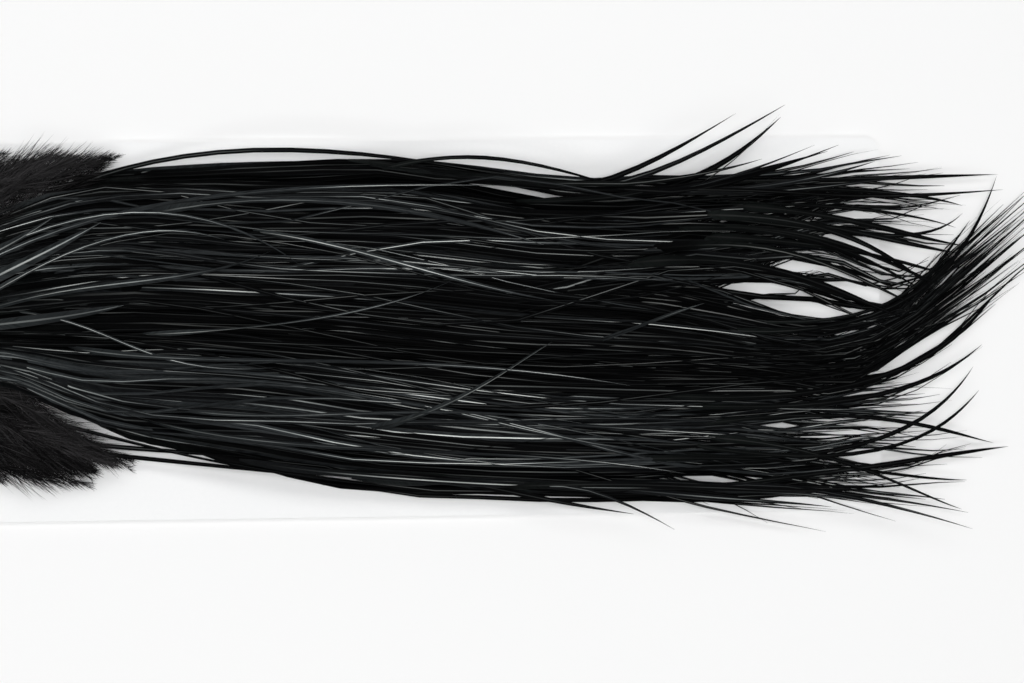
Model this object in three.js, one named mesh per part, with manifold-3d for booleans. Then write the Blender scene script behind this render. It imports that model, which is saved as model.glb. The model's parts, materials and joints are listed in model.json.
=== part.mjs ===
// A feather saddle patch: a dried patch of dyed bird skin with its long narrow saddle
// hackles laid out along a stiff backing card, and its webby side plumes left on.
//
// Millimetres. +X runs along the feathers from root to tip, +Y across the card and +Z up
// off the card. The origin is the centre of the card's underside.

import * as THREE from 'three';
import { mergeVertices } from 'three/addons/utils/BufferGeometryUtils.js';
import Module from 'manifold-3d';

const wasm = await Module();
wasm.setup();

// ---- Driving dimensions ----

const card = { length: 330, width: 101.6, thickness: 1.2, cornerRadius: 3.6 };

// The skin patch widens from its front edge to its rear edge, where the longest feathers
// root. frontHigh, rearHigh and so on are the +Y and -Y edges of the feathers over it.
const skin = {
  cardMargin: 17,
  length: 96,
  thickness: 1.8,
  inset: 2.5,
  frontHigh: 18,
  frontLow: -16,
  rearHigh: 41.8,
  rearLow: -27.9,
};

// The outline of the laid-out hackles behind the skin: distance behind the skin's rear
// edge, then the +Y edge or the -Y edge of the bundle there.
const bundleHigh = [[13, 45], [59, 48.5], [102, 43.5], [142, 39.5], [212, 39], [267, 37]];
const bundleLow = [[13, -29.5], [45, -38], [87, -43], [147, -46], [217, -45], [267, -40]];

// Rows of feathers, lowest first. setBack is how far in front of the skin's rear edge a
// row roots, and cuts are the shares of the row's width where one lock meets the next.
const lowRow = {
  setBack: 4,
  thickness: 3,
  lengths: [206, 220, 205, 200, 202, 222, 214],
  cuts: [0, 0.15, 0.29, 0.43, 0.57, 0.71, 0.86, 1],
};
const midRow = {
  setBack: 14,
  thickness: 3,
  lengths: [238, 246, 222, 216, 228, 244],
  cuts: [0, 0.17, 0.34, 0.5, 0.66, 0.83, 1],
};
const topRow = {
  setBack: 26,
  thickness: 3.2,
  lengths: [268, 264, 290, 293, 286],
  cuts: [0, 0.14, 0.28, 0.44, 0.58, 0.72, 0.86, 1],
};
const covertCuts = [0, 0.34, 0.66, 1];
const rearCoverts = { setBack: 56, thickness: 2.6, lengths: [28, 28, 28], cuts: covertCuts };
const midCoverts = { setBack: 76, thickness: 2.6, lengths: [38, 38, 38], cuts: covertCuts };
const frontCoverts = { setBack: 90, thickness: 2.6, lengths: [36, 36, 36], cuts: covertCuts };
const rows = [lowRow, midRow, topRow, rearCoverts, midCoverts, frontCoverts];

// Three neighbouring locks of the top row draw together and bend towards +Y, across the
// tips of the locks beside them. start is counted from the skin's rear edge. squeeze is
// what is left of their width once they have drawn together, over drawRun before the bend.
const bend = { first: 2, last: 4, start: 204, length: 28, slope: 0.68 };
const draw = { run: 62, squeeze: 0.62, fan: 1.2 };

// The locks along the two long edges of the bundle can be fanned out sideways.
const edgeLock = { behind: 16, width: 8, rootWidth: 2.4, height: 6 };
const edgeLength = { high: 222, low: 226 };

// Thin stray locks that leave the edges: where each starts and ends behind the skin's
// rear edge, and how far outside the bundle's edge its tip lies.
const stray = { width: 3, thickness: 1.4 };
const strays = [
  { name: 'upper_stray_lock_1', side: 1, start: 140, end: 190, reach: 19.8 },
  { name: 'upper_stray_lock_2', side: 1, start: 160, end: 216, reach: 6.5 },
  { name: 'lower_stray_lock', side: -1, start: 168, end: 240, reach: 12 },
];

// Webby plumes along both sides of the skin, outside the hackles. front is how far the
// root lies in front of the skin's rear edge, and tier 1 lies over tier 0.
const plume = { thickness: 3.2 };
const upperPlumes = [
  { front: 82, length: 36, spread: 9, tier: 0 },
  { front: 62, length: 44, spread: 12, tier: 1 },
  { front: 38, length: 45, spread: 10.5, tier: 0 },
];
const lowerPlumes = [
  { front: 84, length: 36, spread: 12, tier: 0 },
  { front: 64, length: 42, spread: 15, tier: 1 },
  { front: 42, length: 52, spread: 18, tier: 0 },
  { front: 20, length: 28, spread: 14, tier: 1 },
];

// Flat-wire staples that hold the skin's front edge to the card, legs clinched inwards.
const staple = { crown: 9, wire: 0.5, wireWidth: 0.7, clinch: 3.4, frontMargin: 3.5, spacing: 4 };

// ---- Clearances ----

const touch = 0.3; // between pieces that lie on each other
const rowGap = 0.45; // between one row of feathers and the next, and over the skin
const lockGap = 0.8; // between neighbouring locks of one row
const plumeGap = 1.0; // between the hackles and the side plumes
const tipClearance = 1.5; // between a top lock's tip and the curved locks that cross it

// ---- Shapes of the feather masses ----

const stationPitch = 16; // along the feathers, between one cross-section and the next
const sectionSides = 8;
const rootThickness = 1;
const rootRun = 34; // over which a row thickens behind its roots
const tipRun = 70; // over which it thins towards its tips
const rampRun = 20; // over which the feathers come down off the skin onto the card
const tipWidthShare = 0.25;

// ---- Places ----

const skinFront = -card.length / 2 + skin.cardMargin;
const skinRear = skinFront + skin.length;
const skinBottom = card.thickness + touch;
const skinTop = skinBottom + skin.thickness;

const smooth = (t) => THREE.MathUtils.smoothstep(t, 0, 1);

// A smooth curve through hand-set points, as a function of x.
function curveThrough(points) {
  const slope = points.map((p, i) => {
    const a = points[Math.max(i - 1, 0)];
    const b = points[Math.min(i + 1, points.length - 1)];
    return (b[1] - a[1]) / (b[0] - a[0]);
  });
  return (x) => {
    const last = points.length - 2;
    let i = 0;
    while (i < last && x > points[i + 1][0]) i += 1;
    const [x0, y0] = points[i];
    const [x1, y1] = points[i + 1];
    const run = x1 - x0;
    const t = THREE.MathUtils.clamp((x - x0) / run, 0, 1);
    const rise = t * t * (3 - 2 * t);
    const startPull = t * (1 - t) * (1 - t) * run * slope[i];
    const endPull = t * t * (t - 1) * run * slope[i + 1];
    return y0 + (y1 - y0) * rise + startPull + endPull;
  };
}

// The feathers' outline over the skin and behind it.
function outline(front, rear, behind) {
  const points = [[-skin.length, front], [0, rear], ...behind];
  const curve = curveThrough(points);
  return (x) => curve(x - skinRear);
}
const highEdge = outline(skin.frontHigh, skin.rearHigh, bundleHigh);
const lowEdge = outline(skin.frontLow, skin.rearLow, bundleLow);

const rowRoot = (row) => skinRear - row.setBack;
const edgeRoot = skinRear + edgeLock.behind;

// The height of what the lowest feathers lie on: the skin, then the card.
function floorHeight(x) {
  const onCard = card.thickness + rowGap;
  const onSkin = skinTop + rowGap;
  const down = smooth((x - skinRear) / rampRun);
  return THREE.MathUtils.lerp(onSkin, onCard, down);
}

// The locks of the edges take a strip of the bundle's width behind their roots.
function edgeStrip(x) {
  if (x < edgeRoot) return 0;
  return THREE.MathUtils.lerp(edgeLock.rootWidth, edgeLock.width, smooth((x - edgeRoot) / rootRun));
}
function edgeInset(x) {
  return x < edgeRoot ? 0 : edgeStrip(x) + lockGap;
}
const bandHigh = (x) => highEdge(x) - edgeInset(x);
const bandLow = (x) => lowEdge(x) + edgeInset(x);

const bendX = skinRear + bend.start;
const bends = (row, i) => row === topRow && i >= bend.first && i <= bend.last;

// How far the bend has carried the curved locks sideways at x.
function bendOffset(x) {
  const into = Math.max(x - bendX, 0);
  const turning = Math.min(into, bend.length);
  return bend.slope * ((turning * turning) / (2 * bend.length) + into - turning);
}

// y of a row's cut at x. The curved locks' own cuts draw together and then bend away.
function cutAt(cut, x) {
  return THREE.MathUtils.lerp(bandLow(x), bandHigh(x), cut);
}
function curvedCutAt(cut, x) {
  const foot = cutAt(topRow.cuts[bend.first], x);
  const drawn = THREE.MathUtils.lerp(1, draw.squeeze, smooth((x - bendX + draw.run) / draw.run));
  const fanned = THREE.MathUtils.lerp(1, draw.fan, smooth((x - bendX) / draw.run));
  return foot + (cutAt(cut, x) - foot) * drawn * fanned + bendOffset(x);
}

// Top locks on the curved locks' +Y side end where those cross them.
function crossedLength(i) {
  const lastCut = topRow.cuts[bend.last + 1];
  let x = bendX;
  while (curvedCutAt(lastCut, x) + tipClearance < cutAt(topRow.cuts[i], x)) x += 1;
  return x - rowRoot(topRow);
}
for (let i = bend.last + 1; i < topRow.cuts.length - 1; i += 1) {
  topRow.lengths.push(crossedLength(i));
}

const rowTip = (row) => rowRoot(row) + Math.max(...row.lengths);
const covers = (row, x) => x >= rowRoot(row) && x <= rowTip(row);

function rowThickness(row, x) {
  const grow = smooth((x - rowRoot(row)) / Math.min(rootRun, (rowTip(row) - rowRoot(row)) / 2));
  const fade = smooth((rowTip(row) - x) / Math.min(tipRun, (rowTip(row) - rowRoot(row)) / 2));
  return rootThickness + (row.thickness - rootThickness) * Math.min(grow, fade);
}

// Each row lies on the rows below it wherever they reach.
function rowBottom(row, x) {
  const below = rows.slice(0, rows.indexOf(row)).filter((lower) => covers(lower, x));
  return below.reduce((z, lower) => z + rowThickness(lower, x) + rowGap, floorHeight(x));
}

// Cross-sections are cut at the same places on every lock, so that neighbours stay clear
// of each other between them.
const marks = [skinRear, skinRear + rampRun, edgeRoot];
for (const row of rows) marks.push(rowRoot(row), rowTip(row));
for (let x = skinFront; x < rowTip(topRow); x += stationPitch) marks.push(x);

function stationsBetween(root, tip) {
  const inside = marks.filter((x) => x > root + 1 && x < tip - 1);
  return [...new Set([root, ...inside, tip])].sort((a, b) => a - b);
}

// A closed tapering body whose cross-section at each station is a flattened octagon.
// box(x) gives its y and z limits there.
function loft(stations, box) {
  const count = stations.length - 1;
  const turn = Math.PI / sectionSides;
  const shape = new THREE.CylinderGeometry(1, 1, 1, sectionSides, count, false, turn);
  const place = shape.getAttribute('position');
  const fill = 1 / Math.cos(turn);
  for (let i = 0; i < place.count; i += 1) {
    const x = stations[Math.round((0.5 - place.getY(i)) * count)];
    const { low, high, bottom, top } = box(x);
    const across = (place.getX(i) * fill * (high - low)) / 2 + (high + low) / 2;
    const up = (place.getZ(i) * fill * (top - bottom)) / 2 + (top + bottom) / 2;
    place.setXYZ(i, x, across, up);
  }
  shape.computeVertexNormals();
  return shape;
}

// ---- Finishes ----

const finish = (color, roughness) => new THREE.MeshStandardMaterial({ color, roughness, metalness: 0 });
const featherBlack = () => finish(0x111316, 0.42);
const webbyBlack = () => finish(0x17130f, 0.8);
const hide = () => finish(0x3a3027, 0.75);
const whiteBoard = () => finish(0xf4f4f3, 0.6);
const steel = () => new THREE.MeshStandardMaterial({ color: 0xb9bcc0, roughness: 0.35, metalness: 1 });

const patch = new THREE.Group();

function add(name, geometry, material) {
  const mesh = new THREE.Mesh(geometry, material);
  mesh.name = name;
  patch.add(mesh);
}

// ---- Card, skin and staples ----

function toSolid(geometry) {
  const bare = new THREE.BufferGeometry();
  bare.setAttribute('position', geometry.getAttribute('position').clone());
  bare.setIndex(geometry.getIndex());
  const merged = mergeVertices(bare, 1e-4);
  return new wasm.Manifold(new wasm.Mesh({
    numProp: 3,
    vertProperties: new Float32Array(merged.getAttribute('position').array),
    triVerts: new Uint32Array(merged.getIndex().array),
  }));
}

function toGeometry(solid) {
  const mesh = solid.getMesh();
  const geometry = new THREE.BufferGeometry();
  geometry.setAttribute('position', new THREE.BufferAttribute(mesh.vertProperties, 3));
  geometry.setIndex(new THREE.BufferAttribute(mesh.triVerts, 1));
  geometry.computeVertexNormals();
  return geometry;
}

function cutBoxes(geometry, boxes) {
  let solid = toSolid(geometry);
  for (const { size, centre } of boxes) {
    const tool = new THREE.BoxGeometry(...size).translate(...centre);
    solid = solid.subtract(toSolid(tool));
  }
  return toGeometry(solid);
}

const stapleX = skinFront + staple.frontMargin;
const stapleCentres = [1, -1].map((side) => {
  const middle = (highEdge(stapleX) + lowEdge(stapleX)) / 2;
  return middle + side * (staple.crown + staple.spacing) / 2;
});
const clinchBottom = 0.05;
const legOut = staple.crown / 2 - staple.wire / 2; // from the staple's middle to a leg's middle

// Holes for both legs of every staple, through whatever lies between two heights.
function legHoles(bottom, top) {
  return stapleCentres.flatMap((y) => [-legOut, legOut].map((leg) => ({
    size: [staple.wireWidth + 2 * touch, staple.wire + 2 * touch, top - bottom],
    centre: [stapleX, y + leg, (top + bottom) / 2],
  })));
}

function cardGeometry() {
  const { length, width, thickness, cornerRadius: r } = card;
  const outlineShape = new THREE.Shape();
  outlineShape.absarc(length / 2 - r, width / 2 - r, r, 0, Math.PI / 2);
  outlineShape.absarc(-length / 2 + r, width / 2 - r, r, Math.PI / 2, Math.PI);
  outlineShape.absarc(-length / 2 + r, -width / 2 + r, r, Math.PI, 1.5 * Math.PI);
  outlineShape.absarc(length / 2 - r, -width / 2 + r, r, 1.5 * Math.PI, 2 * Math.PI);
  outlineShape.closePath();
  const board = new THREE.ExtrudeGeometry(outlineShape, {
    depth: thickness,
    bevelEnabled: false,
    curveSegments: 8,
  });
  // Clinched legs lie flush in shallow grooves pressed into the underside.
  const grooveDepth = clinchBottom + staple.wire + touch;
  const grooves = stapleCentres.map((y) => ({
    size: [staple.wireWidth + 2 * touch, staple.crown + 2 * touch, 2 * grooveDepth],
    centre: [stapleX, y, 0],
  }));
  return cutBoxes(board, [...grooves, ...legHoles(-1, thickness + 1)]);
}

function skinGeometry() {
  const steps = 3;
  const side = (edge, sign) => {
    const points = [];
    for (let i = 0; i <= steps; i += 1) {
      const x = skinFront + (skin.length * i) / steps;
      points.push(new THREE.Vector2(x, edge(x) + sign * skin.inset));
    }
    return points;
  };
  const points = [...side(lowEdge, 1), ...side(highEdge, -1).reverse()];
  const hideSheet = new THREE.ExtrudeGeometry(new THREE.Shape(points), {
    depth: skin.thickness,
    bevelEnabled: false,
  });
  hideSheet.translate(0, 0, skinBottom);
  return cutBoxes(hideSheet, legHoles(skinBottom - 1, skinTop + 1));
}

// A staple of flat wire, seen along X: a crown over the skin, two legs through skin and
// card, and the legs' ends clinched towards each other under the card.
function stapleGeometry(y) {
  const half = staple.crown / 2;
  const inner = half - staple.wire;
  const end = half - staple.clinch;
  const top = skinTop + touch + staple.wire;
  const wireTop = clinchBottom + staple.wire;
  const points = [
    [end, clinchBottom], [half, clinchBottom], [half, top], [-half, top],
    [-half, clinchBottom], [-end, clinchBottom], [-end, wireTop], [-inner, wireTop],
    [-inner, top - staple.wire], [inner, top - staple.wire], [inner, wireTop], [end, wireTop],
  ];
  const profile = new THREE.Shape(points.map(([across, up]) => new THREE.Vector2(across, up)));
  const wire = new THREE.ExtrudeGeometry(profile, {
    depth: staple.wireWidth,
    bevelEnabled: false,
  });
  // The profile's axes (across, up) become Y and Z, and the wire's width runs along X.
  wire.applyMatrix4(new THREE.Matrix4().makeBasis(
    new THREE.Vector3(0, 1, 0),
    new THREE.Vector3(0, 0, 1),
    new THREE.Vector3(1, 0, 0),
  ));
  return wire.translate(stapleX - staple.wireWidth / 2, y, 0);
}

add('backing_card', cardGeometry(), whiteBoard());
add('skin_patch', skinGeometry(), hide());
stapleCentres.forEach((y, i) => add(`staple_${i + 1}`, stapleGeometry(y), steel()));

// ---- Rows of hackle locks and coverts ----

// One lock of a row, between its two cuts, thinning and narrowing to its own tip.
function rowLock(row, i) {
  const root = rowRoot(row);
  const tip = root + row.lengths[i];
  const narrowRun = Math.min(tipRun, row.lengths[i] / 2);
  const cutY = bends(row, i) ? curvedCutAt : cutAt;
  return loft(stationsBetween(root, tip), (x) => {
    const cellLow = cutY(row.cuts[i], x) + lockGap / 2;
    const cellHigh = cutY(row.cuts[i + 1], x) - lockGap / 2;
    const narrow = THREE.MathUtils.lerp(tipWidthShare, 1, smooth((tip - x) / narrowRun));
    const half = ((cellHigh - cellLow) / 2) * narrow;
    const middle = (cellHigh + cellLow) / 2;
    const bottom = rowBottom(row, x);
    const extra = rowThickness(row, x) - rootThickness;
    const top = bottom + rootThickness + extra * smooth((tip - x) / narrowRun);
    return { low: middle - half, high: middle + half, bottom, top };
  });
}

function addRow(row, label, material) {
  row.lengths.forEach((length, i) => {
    const name = bends(row, i) ? `curved_hackle_lock_${i - bend.first + 1}` : `${label}_${i + 1}`;
    add(name, rowLock(row, i), material());
  });
}

addRow(lowRow, 'low_hackle_lock', featherBlack);
addRow(midRow, 'mid_hackle_lock', featherBlack);
addRow(topRow, 'top_hackle_lock', featherBlack);
addRow(rearCoverts, 'rear_covert_tuft', webbyBlack);
addRow(midCoverts, 'middle_covert_tuft', webbyBlack);
addRow(frontCoverts, 'front_covert_tuft', webbyBlack);

// ---- Edge locks and strays ----

// y counted outwards from the bundle's middle: side is 1 for the +Y edge, -1 for -Y.
const edgeOf = (side) => (side > 0 ? highEdge : lowEdge);
function sideBox(side, inner, outer, bottom, top) {
  const edges = [side * inner, side * outer];
  return { low: Math.min(...edges), high: Math.max(...edges), bottom, top };
}

function edgeLockGeometry(side, length) {
  const tip = edgeRoot + length;
  return loft(stationsBetween(edgeRoot, tip), (x) => {
    const outer = side * edgeOf(side)(x);
    const fade = smooth((tip - x) / tipRun);
    const width = edgeStrip(x) * THREE.MathUtils.lerp(tipWidthShare, 1, fade);
    const grow = Math.min(smooth((x - edgeRoot) / rootRun), fade);
    const bottom = floorHeight(x);
    const top = bottom + rootThickness + (edgeLock.height - rootThickness) * grow;
    const middle = outer - edgeStrip(x) / 2;
    return sideBox(side, middle - width / 2, middle + width / 2, bottom, top);
  });
}

function strayGeometry({ side, start, end, reach }) {
  const root = skinRear + start;
  const tip = skinRear + end;
  return loft(stationsBetween(root, tip), (x) => {
    const t = (x - root) / (tip - root);
    const inner = side * edgeOf(side)(x) - edgeLock.width / 2;
    const middle = inner + (reach + edgeLock.width / 2) * t ** 1.4;
    const half = (stray.width / 2) * THREE.MathUtils.lerp(1, tipWidthShare, t);
    const bottom = floorHeight(x) + edgeLock.height + rowGap;
    const top = bottom + stray.thickness * THREE.MathUtils.lerp(1, 0.6, t);
    return sideBox(side, middle - half, middle + half, bottom, top);
  });
}

add('upper_edge_lock', edgeLockGeometry(1, edgeLength.high), featherBlack());
add('lower_edge_lock', edgeLockGeometry(-1, edgeLength.low), featherBlack());
for (const one of strays) add(one.name, strayGeometry(one), featherBlack());

// ---- Side plumes ----

// A side plume spreads outwards from the hackles' edge and comes to a blunt point.
function plumeGeometry(side, { front, length, spread, tier }) {
  const root = skinRear - front;
  const tip = root + length;
  return loft(stationsBetween(root, tip), (x) => {
    const t = (x - root) / length;
    const inner = side * edgeOf(side)(x) + plumeGap;
    const outer = inner + spread * (0.25 + 0.75 * smooth(t / 0.7));
    const narrow = THREE.MathUtils.lerp(1, 0.45, smooth((t - 0.7) / 0.3));
    const bottom = card.thickness + touch + tier * (plume.thickness + rowGap);
    const swell = Math.min(smooth(t / 0.4), smooth((1 - t) / 0.4));
    const top = bottom + THREE.MathUtils.lerp(rootThickness, plume.thickness, swell);
    return sideBox(side, inner, THREE.MathUtils.lerp(inner, outer, narrow), bottom, top);
  });
}

upperPlumes.forEach((p, i) => add(`upper_side_plume_${i + 1}`, plumeGeometry(1, p), webbyBlack()));
lowerPlumes.forEach((p, i) => add(`lower_side_plume_${i + 1}`, plumeGeometry(-1, p), webbyBlack()));

export default patch;
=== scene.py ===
import json
import math

import bmesh
import bpy
import numpy as np
from mathutils import Matrix, Vector


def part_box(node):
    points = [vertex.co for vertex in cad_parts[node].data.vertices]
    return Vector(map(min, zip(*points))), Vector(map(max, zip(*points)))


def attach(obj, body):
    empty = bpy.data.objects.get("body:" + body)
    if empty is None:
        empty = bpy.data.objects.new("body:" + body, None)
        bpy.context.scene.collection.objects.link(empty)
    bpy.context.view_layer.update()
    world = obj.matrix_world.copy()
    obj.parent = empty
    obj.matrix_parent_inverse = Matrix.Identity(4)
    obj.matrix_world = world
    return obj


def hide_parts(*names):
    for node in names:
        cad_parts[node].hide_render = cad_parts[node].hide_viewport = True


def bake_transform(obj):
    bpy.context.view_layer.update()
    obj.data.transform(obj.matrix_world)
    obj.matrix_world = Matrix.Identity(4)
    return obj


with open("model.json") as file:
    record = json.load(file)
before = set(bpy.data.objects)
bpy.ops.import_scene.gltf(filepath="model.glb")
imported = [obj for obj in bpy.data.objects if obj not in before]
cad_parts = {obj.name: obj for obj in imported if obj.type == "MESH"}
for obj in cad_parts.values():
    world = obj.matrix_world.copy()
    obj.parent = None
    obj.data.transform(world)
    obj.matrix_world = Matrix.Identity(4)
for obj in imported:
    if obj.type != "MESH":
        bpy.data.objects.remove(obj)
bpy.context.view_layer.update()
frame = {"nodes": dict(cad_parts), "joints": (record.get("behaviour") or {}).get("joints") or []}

MM = 0.001

# ---- View, floor and light ----
# The patch is looked at from straight above, as it lies on a table, turned a little and
# leaning towards its feathers' roots. The floor is a plain pale sheet.
card_low, card_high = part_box("backing_card")
card_centre = (card_low + card_high) / 2
view_middle = Vector((card_centre.x + 64.15 * MM, card_centre.y - 3.8 * MM, card_high.z))
VIEW_DISTANCE = 1.0
VIEW_WIDTH = 277.6 * MM
VIEW_LEAN = math.radians(4.5)
VIEW_TURN = math.radians(-0.62)

camera_data = bpy.data.cameras.new("view")
camera_data.sensor_width = 36.0
camera_data.lens = camera_data.sensor_width * VIEW_DISTANCE / VIEW_WIDTH
camera_data.clip_start = 0.05
camera_data.clip_end = 20.0
camera = bpy.data.objects.new("view", camera_data)
bpy.context.scene.collection.objects.link(camera)
backward = Vector((-math.sin(VIEW_LEAN), 0.0, math.cos(VIEW_LEAN)))
rightward = Vector((math.cos(VIEW_TURN), math.sin(VIEW_TURN), 0.0))
rightward = (rightward - backward * rightward.dot(backward)).normalized()
upward = backward.cross(rightward)
axes = Matrix((rightward, upward, backward)).transposed().to_4x4()
camera.matrix_world = Matrix.Translation(view_middle + backward * VIEW_DISTANCE) @ axes
bpy.context.scene.camera = camera
bpy.context.scene.view_settings.view_transform = "Standard"


def new_material(name):
    """A material with its Principled shader and node tree, ready for more nodes."""
    material = bpy.data.materials.new(name)
    material.use_nodes = True
    tree = material.node_tree
    return material, tree, tree.nodes["Principled BSDF"]


def node(tree, kind, inputs=(), **settings):
    """Adds a node, sets its properties, and links or sets the inputs given by name."""
    made = tree.nodes.new(kind)
    for key, value in settings.items():
        setattr(made, key, value)
    for key, value in dict(inputs).items():
        if isinstance(value, bpy.types.NodeSocket):
            tree.links.new(value, made.inputs[key])
        else:
            made.inputs[key].default_value = value
    return made


def ramp(tree, factor, stops):
    """A colour ramp over a factor, from (place, grey or colour) stops."""
    made = node(tree, "ShaderNodeValToRGB", {"Fac": factor})
    elements = made.color_ramp.elements
    while len(elements) < len(stops):
        elements.new(0.5)
    for element, (place, colour) in zip(elements, stops):
        element.position = place
        element.color = (*colour, 1.0) if isinstance(colour, tuple) else (colour,) * 3 + (1.0,)
    return made.outputs["Color"]


def bump(tree, shader, height, strength, distance):
    """Drives the shader's normal from a height."""
    relief = node(tree, "ShaderNodeBump", {"Height": height, "Strength": strength, "Distance": distance})
    tree.links.new(relief.outputs["Normal"], shader.inputs["Normal"])


FLOOR_SIDE = 6.0
floor_mesh = bpy.data.meshes.new("floor")
floor_shape = bmesh.new()
bmesh.ops.create_grid(floor_shape, x_segments=1, y_segments=1, size=FLOOR_SIDE / 2)
bmesh.ops.translate(floor_shape, verts=floor_shape.verts, vec=(0, 0, card_low.z - 0.05 * MM))
floor_shape.to_mesh(floor_mesh)
floor_shape.free()
floor = bpy.data.objects.new("floor", floor_mesh)
bpy.context.scene.collection.objects.link(floor)
floor_material, _, floor_shader = new_material("pale_sweep")
floor_shader.inputs["Base Color"].default_value = (0.86, 0.86, 0.86, 1.0)
floor_shader.inputs["Roughness"].default_value = 0.95
floor_shader.inputs["Specular IOR Level"].default_value = 0.1
floor_mesh.materials.append(floor_material)

world = bpy.data.worlds.new("soft_room")
world.use_nodes = True
world.node_tree.nodes["Background"].inputs["Color"].default_value = (1.0, 1.0, 1.0, 1.0)
world.node_tree.nodes["Background"].inputs["Strength"].default_value = 0.2
bpy.context.scene.world = world


def softbox(name, place, size, power):
    """A rectangular lamp at a place, facing the middle of the view."""
    lamp = bpy.data.lights.new(name, "AREA")
    lamp.shape = "RECTANGLE"
    lamp.size, lamp.size_y = size
    lamp.energy = power
    holder = bpy.data.objects.new(name, lamp)
    bpy.context.scene.collection.objects.link(holder)
    holder.location = Vector(place)
    holder.rotation_euler = (view_middle - holder.location).to_track_quat("-Z", "Y").to_euler()
    return holder


softbox("far_softbox", (0.1, 0.8, 1.2), (1.5, 0.5), 6.6)
softbox("near_softbox", (0.0, -0.85, 1.15), (1.5, 0.5), 6.0)
softbox("root_softbox", (-1.2, 0.1, 1.1), (0.6, 1.0), 2.6)
fill = softbox("overhead_fill", (0.06, 0.02, 2.0), (0.7, 0.7), 18.0)
fill.visible_glossy = False


# ---- Backing card ----
# A stiff white board with rounded corners. It carries the whole patch and is cut from
# smooth coated stock, so it shows only faint fibres and slightly greyer cut edges.
board, tree, shader = new_material("coated_board")
place = node(tree, "ShaderNodeTexCoord").outputs["Object"]
fibres = node(tree, "ShaderNodeTexNoise", {"Vector": place, "Scale": 900.0, "Detail": 4.0})
mottle = node(tree, "ShaderNodeTexNoise", {"Vector": place, "Scale": 28.0, "Detail": 3.0})
mixed = node(tree, "ShaderNodeMath", {0: fibres.outputs["Fac"], 1: mottle.outputs["Fac"]},
             operation="MULTIPLY")
tint = ramp(tree, mixed.outputs[0], [(0.0, (0.84, 0.845, 0.85)), (1.0, (0.9, 0.9, 0.895))])
tree.links.new(tint, shader.inputs["Base Color"])
shader.inputs["Roughness"].default_value = 0.55
shader.inputs["Specular IOR Level"].default_value = 0.3
bump(tree, shader, fibres.outputs["Fac"], 0.12, 0.02 * MM)


def refinish(name, material):
    """Gives a CAD node the material that it shows in the end."""
    mesh = frame["nodes"][name].data
    mesh.materials.clear()
    mesh.materials.append(material)


refinish("backing_card", board)


# ---- Skin patch ----
# The dried hide that every feather grows from. Dye has gone right through it, it is a
# little cockled, and its cut edge is ragged and curls up a touch.
hide, tree, shader = new_material("dyed_hide")
place = node(tree, "ShaderNodeTexCoord").outputs["Object"]
pores = node(tree, "ShaderNodeTexVoronoi", {"Vector": place, "Scale": 420.0})
blotches = node(tree, "ShaderNodeTexNoise", {"Vector": place, "Scale": 70.0, "Detail": 5.0})
tint = ramp(tree, blotches.outputs["Fac"], [(0.3, (0.006, 0.0052, 0.0045)), (0.75, (0.03, 0.025, 0.02))])
tree.links.new(tint, shader.inputs["Base Color"])
tree.links.new(ramp(tree, blotches.outputs["Fac"], [(0.3, 0.5), (0.7, 0.78)]), shader.inputs["Roughness"])
bump(tree, shader, pores.outputs["Distance"], 0.5, 0.25 * MM)


def link(name, mesh, body, slot_name, *nodes):
    """Puts a finished mesh in the scene, on its body, in place of its CAD nodes."""
    piece = bpy.data.objects.new(name, mesh)
    bpy.context.scene.collection.objects.link(piece)
    if body is not None:
        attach(piece, body)
    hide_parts(*nodes)
    return piece


def smooth(t):
    """0 to 1 with flat ends."""
    t = np.clip(t, 0.0, 1.0)
    return t * t * (3 - 2 * t)


# A solid's limits are read at this step along it, and eased over this many steps either way.
RUN_STEP = 1 * MM
RUN_EASE = 16


class Run:
    """The room a CAD solid takes: its y and z limits at any x along it, eased."""

    def __init__(self, name):
        mesh = frame["nodes"][name].data
        co = np.empty(len(mesh.vertices) * 3)
        mesh.vertices.foreach_get("co", co)
        co = co.reshape(-1, 3)
        keys = np.round(co[:, 0], 5)
        self.x = np.unique(keys)
        rings = [co[keys == x] for x in self.x]
        table = np.array([[r[:, 1].min(), r[:, 1].max(), r[:, 2].min(), r[:, 2].max()] for r in rings])
        fine = np.arange(self.x[0], self.x[-1], RUN_STEP)
        window = np.hanning(min(2 * RUN_EASE + 1, len(fine) - 1))
        half = len(window) // 2
        eased = []
        for column in table.T:
            values = np.pad(np.interp(fine, self.x, column), half, mode="reflect", reflect_type="odd")
            eased.append(np.convolve(values, window / window.sum(), mode="same")[half:half + len(fine)])
        self.x = fine
        self.table = np.array(eased).T

    def at(self, x, column):
        """One limit at x, carried on in a straight line past either end."""
        values = self.table[:, column]
        inside = np.interp(x, self.x, values)
        ends = []
        for a, b in ((0, 8), (-1, -9)):
            ends.append((values[a] - values[b]) / (self.x[a] - self.x[b]))
        before = np.minimum(x - self.x[0], 0.0) * ends[0]
        after = np.maximum(x - self.x[-1], 0.0) * ends[1]
        return inside + before + after

    def middle(self, x):
        return (self.at(x, 0) + self.at(x, 1)) / 2

    def width(self, x):
        return np.interp(x, self.x, self.table[:, 1] - self.table[:, 0])

    def bottom(self, x):
        return np.interp(x, self.x, self.table[:, 2])

    def height(self, x):
        return np.interp(x, self.x, self.table[:, 3] - self.table[:, 2])


skin_low, skin_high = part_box("skin_patch")
SKIN_STEPS = (48, 32)
SKIN_THICKNESS = 0.9 * MM
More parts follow.
